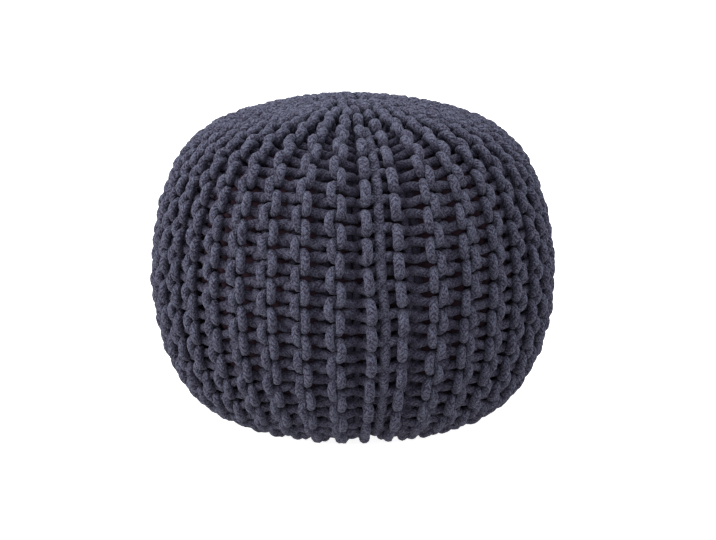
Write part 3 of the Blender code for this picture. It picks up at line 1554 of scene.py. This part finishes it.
# The filling's dark reddish colour is painted shade of the gaps between the cords.
FILLING_PAINTED_SHADE = PlainCloth("dark_filling_bag", (0.046, 0.024, 0.034), grain=400.0)
PALE_FLOOR = PlainCloth("pale_floor", (0.92, 0.92, 0.92), grain=0.5, glow=0.9)


# ---- studio ----------------------------------------------------------------------------------------------


@dataclass(frozen=True)
class SoftBox:
    """A square soft light that faces the pouf: its middle, the length of its side, and its watts."""

    name: str
    place: tuple[float, float, float]
    side: float
    power: float


@dataclass
class Studio:
    """A pale floor, soft light from above and from both sides, and the photograph's camera.

    Attributes:
        aim_height: height of the point on the pouf's axis that the camera faces.
        elevation: degrees that the camera looks down by.
        distance: from the camera to that point.
        lens: focal length in millimetres.
        sensor: width of the sensor in millimetres.
        image: the photograph's size in pixels.
        seen_at: where the photograph shows that point, in pixels.
        soft_boxes: lights over, beside and behind the pouf.
        lit_height: height of the point on the pouf's axis that they face.
        room_strength: light of the room.
        room_high: colour of the room overhead.
        room_low: colour of the room from below.
        room_low_at: upward part of the direction at which it has that colour.
        floor_reach: half the length of the floor's side.
    """

    aim_height: float = 0.1667
    elevation: float = 13.0
    distance: float = 2.025
    lens: float = 90.45
    sensor: float = 36.0
    image: tuple[int, int] = (716, 540)
    seen_at: tuple[float, float] = (353.2, 262.46)
    soft_boxes: Sequence[SoftBox] = (
        SoftBox("light_top", (-0.2, 0.2, 2.2), 1.6, 20.5),
        SoftBox("light_left", (-2.2, -1.2, 1.0), 1.4, 50.0),
        SoftBox("light_right", (2.2, -1.2, 1.0), 1.4, 17.5),
        SoftBox("light_back", (0.6, 2.4, 1.2), 1.4, 16.0),
    )
    lit_height: float = 0.18
    room_strength: float = 0.77
    room_high: Colour = (0.89, 0.95, 1.05)
    room_low: Colour = (0.50, 0.47, 0.48)
    room_low_at: float = -0.6
    floor_reach: float = 30.0

    def camera(self) -> None:
        """Places the camera on the photograph's line of sight, with only the photograph's framing shift."""
        data = bpy.data.cameras.new("camera")
        data.lens = self.lens
        data.sensor_width = self.sensor
        data.shift_x = (self.image[0] / 2.0 - self.seen_at[0]) / self.image[0]
        data.shift_y = (self.seen_at[1] - self.image[1] / 2.0) / self.image[0]
        camera = show("camera", data)
        tilt = math.radians(self.elevation)
        back = Vector((0.0, -math.cos(tilt), math.sin(tilt)))
        camera.location = Vector((0.0, 0.0, self.aim_height)) + self.distance * back
        camera.rotation_euler = back.to_track_quat("Z", "Y").to_euler()
        bpy.context.scene.camera = camera

    def lights(self) -> None:
        """Hangs the soft boxes, each facing the pouf."""
        for box in self.soft_boxes:
            data = bpy.data.lights.new(box.name, "AREA")
            data.size = box.side
            data.energy = box.power
            light = show(box.name, data)
            light.location = box.place
            back = Vector(box.place) - Vector((0.0, 0.0, self.lit_height))
            light.rotation_euler = back.to_track_quat("Z", "Y").to_euler()

    def room(self) -> None:
        """A pale room, brighter overhead than below."""
        world = bpy.data.worlds.new("room")
        world.use_nodes = True
        wiring = Wiring(world.node_tree)
        direction = wiring.add("ShaderNodeTexCoord", {})
        split = wiring.add("ShaderNodeSeparateXYZ", {"Vector": direction.outputs["Generated"]})
        height = wiring.add(
            "ShaderNodeMapRange",
            {"Value": split.outputs["Z"], "From Min": self.room_low_at, "From Max": 1.0},
        )
        shade = wiring.mix(height.outputs["Result"], rgba(self.room_low), rgba(self.room_high))
        background = world.node_tree.nodes["Background"]
        wiring.feed(background, {"Strength": self.room_strength, "Color": shade})
        bpy.context.scene.world = world

    def floor(self) -> None:
        """A pale floor that runs out of sight and throws no light back up."""
        shape = bmesh.new()
        bmesh.ops.create_grid(shape, x_segments=1, y_segments=1, size=self.floor_reach)
        mesh = bpy.data.meshes.new("floor")
        shape.to_mesh(mesh)
        shape.free()
        mesh.materials.append(PALE_FLOOR.make())
        floor = show("floor", mesh)
        floor.visible_diffuse = False

    def build(self) -> None:
        """Sets up the camera, the lights and the floor."""
        self.camera()
        self.lights()
        self.room()
        self.floor()
        bpy.context.scene.view_settings.view_transform = "Standard"


# ---- the pouf --------------------------------------------------------------------------------------------


def report(piece: bpy.types.Object) -> None:
    """Logs a finished piece and its triangles."""
    triangles = sum(len(face.vertices) - 2 for face in piece.data.polygons)
    LOG.info("%s: %d triangles", piece.name, triangles)


def main() -> None:
    """Builds the studio, the pouf's cords and its inside."""
    logging.basicConfig(level=logging.INFO, format="%(name)s: %(message)s")
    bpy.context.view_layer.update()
    low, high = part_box("knit_cover")
    form = Form(width=high[0] - low[0])
    Studio().build()

    cover = KnitCover(form, Stitch())
    maker = CordMaker()
    cotton = NAVY_COTTON.make()
    rows = cover.build(maker, cotton)
    lacing = SeamLacing(cover).build(maker, cotton)
    inside = Filling(form, depth=2.0 * cover.lift + cover.cord_radius).build(FILLING_PAINTED_SHADE.make())
    for piece in (*rows, inside):
        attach(piece, "root")
        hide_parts("knit_cover")
        report(piece)
    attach(lacing, "root")
    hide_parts("seam_lacing")
    report(lacing)


if __name__ == "__main__":
    main()
